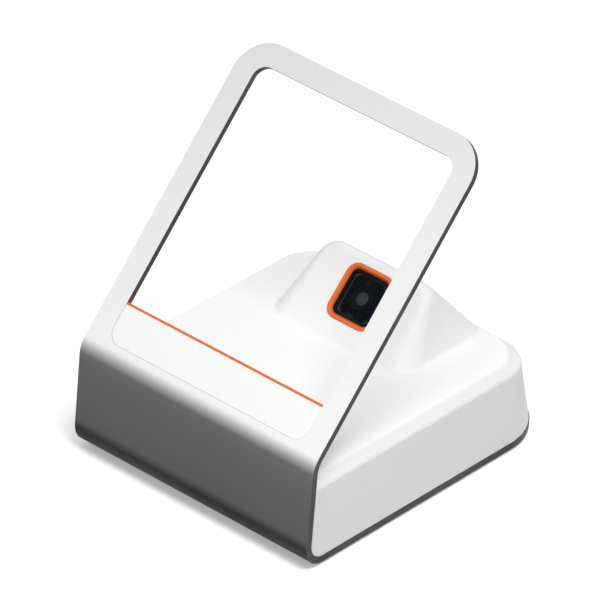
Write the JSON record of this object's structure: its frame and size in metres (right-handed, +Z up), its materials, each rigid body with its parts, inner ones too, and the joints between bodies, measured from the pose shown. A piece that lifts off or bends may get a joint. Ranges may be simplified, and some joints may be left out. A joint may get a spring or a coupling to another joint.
{
  "type": "presentation barcode scanner",
  "caption": "Desktop presentation barcode scanner: a bent metal sheet with a sloping open ring, a white housing with a raised scanner head, and a dark window in an orange bezel.",
  "frame": {"origin": "centre of the bounding box, on the surface that the rubber feet rest on", "axes": "+Z up, -Y to the front, where the user faces the ring, +X to the user's right"},
  "size_m": [0.1, 0.13, 0.1284],
  "materials": {
    "sheet_metal": "fine blasted grain",
    "panel_white": "smooth satin",
    "accent_orange": "satin",
    "tape": "foam",
    "housing_white": "fine moulded texture",
    "window_dark": "polished, dark tint",
    "soft_black": "matt foam",
    "black_plastic": "matt",
    "grey_plastic": "moulded",
    "board_green": "solder mask",
    "chip_dark": "polished",
    "lens_glass": "coated glass",
    "light_cream": "cast resin",
    "steel": "plated",
    "connector_ivory": "moulded",
    "flex_amber": "film",
    "parts_brown": "moulded",
    "brass_slot": "turned",
    "ballast_steel": "plain"
  },
  "bodies": {
    "root": {"metal_frame": "sheet_metal", "front_panel": "panel_white", "accent_strip": "accent_orange", "panel_tape": "tape", "housing": "housing_white", "window_bezel": "accent_orange", "scan_window": "window_dark", "window_gasket": "soft_black", "light_shroud": "black_plastic", "engine_bracket": "grey_plastic", "camera_board": "board_green", "image_sensor": "chip_dark", "lens_barrel": "black_plastic", "front_lens": "lens_glass", "illumination_lights": "light_cream", "engine_screws": "steel", "flex_connectors": "connector_ivory", "flex_cable": "flex_amber", "main_board": "board_green", "processor_shield": "steel", "power_parts": "parts_brown", "buzzer": "black_plastic", "usb_socket": "steel", "board_standoffs": "brass_slot", "board_screws": "steel", "ballast_plate": "ballast_steel", "ballast_screws": "steel", "housing_screws": "steel", "rubber_feet": "soft_black"}
  },
  "joints": []
}
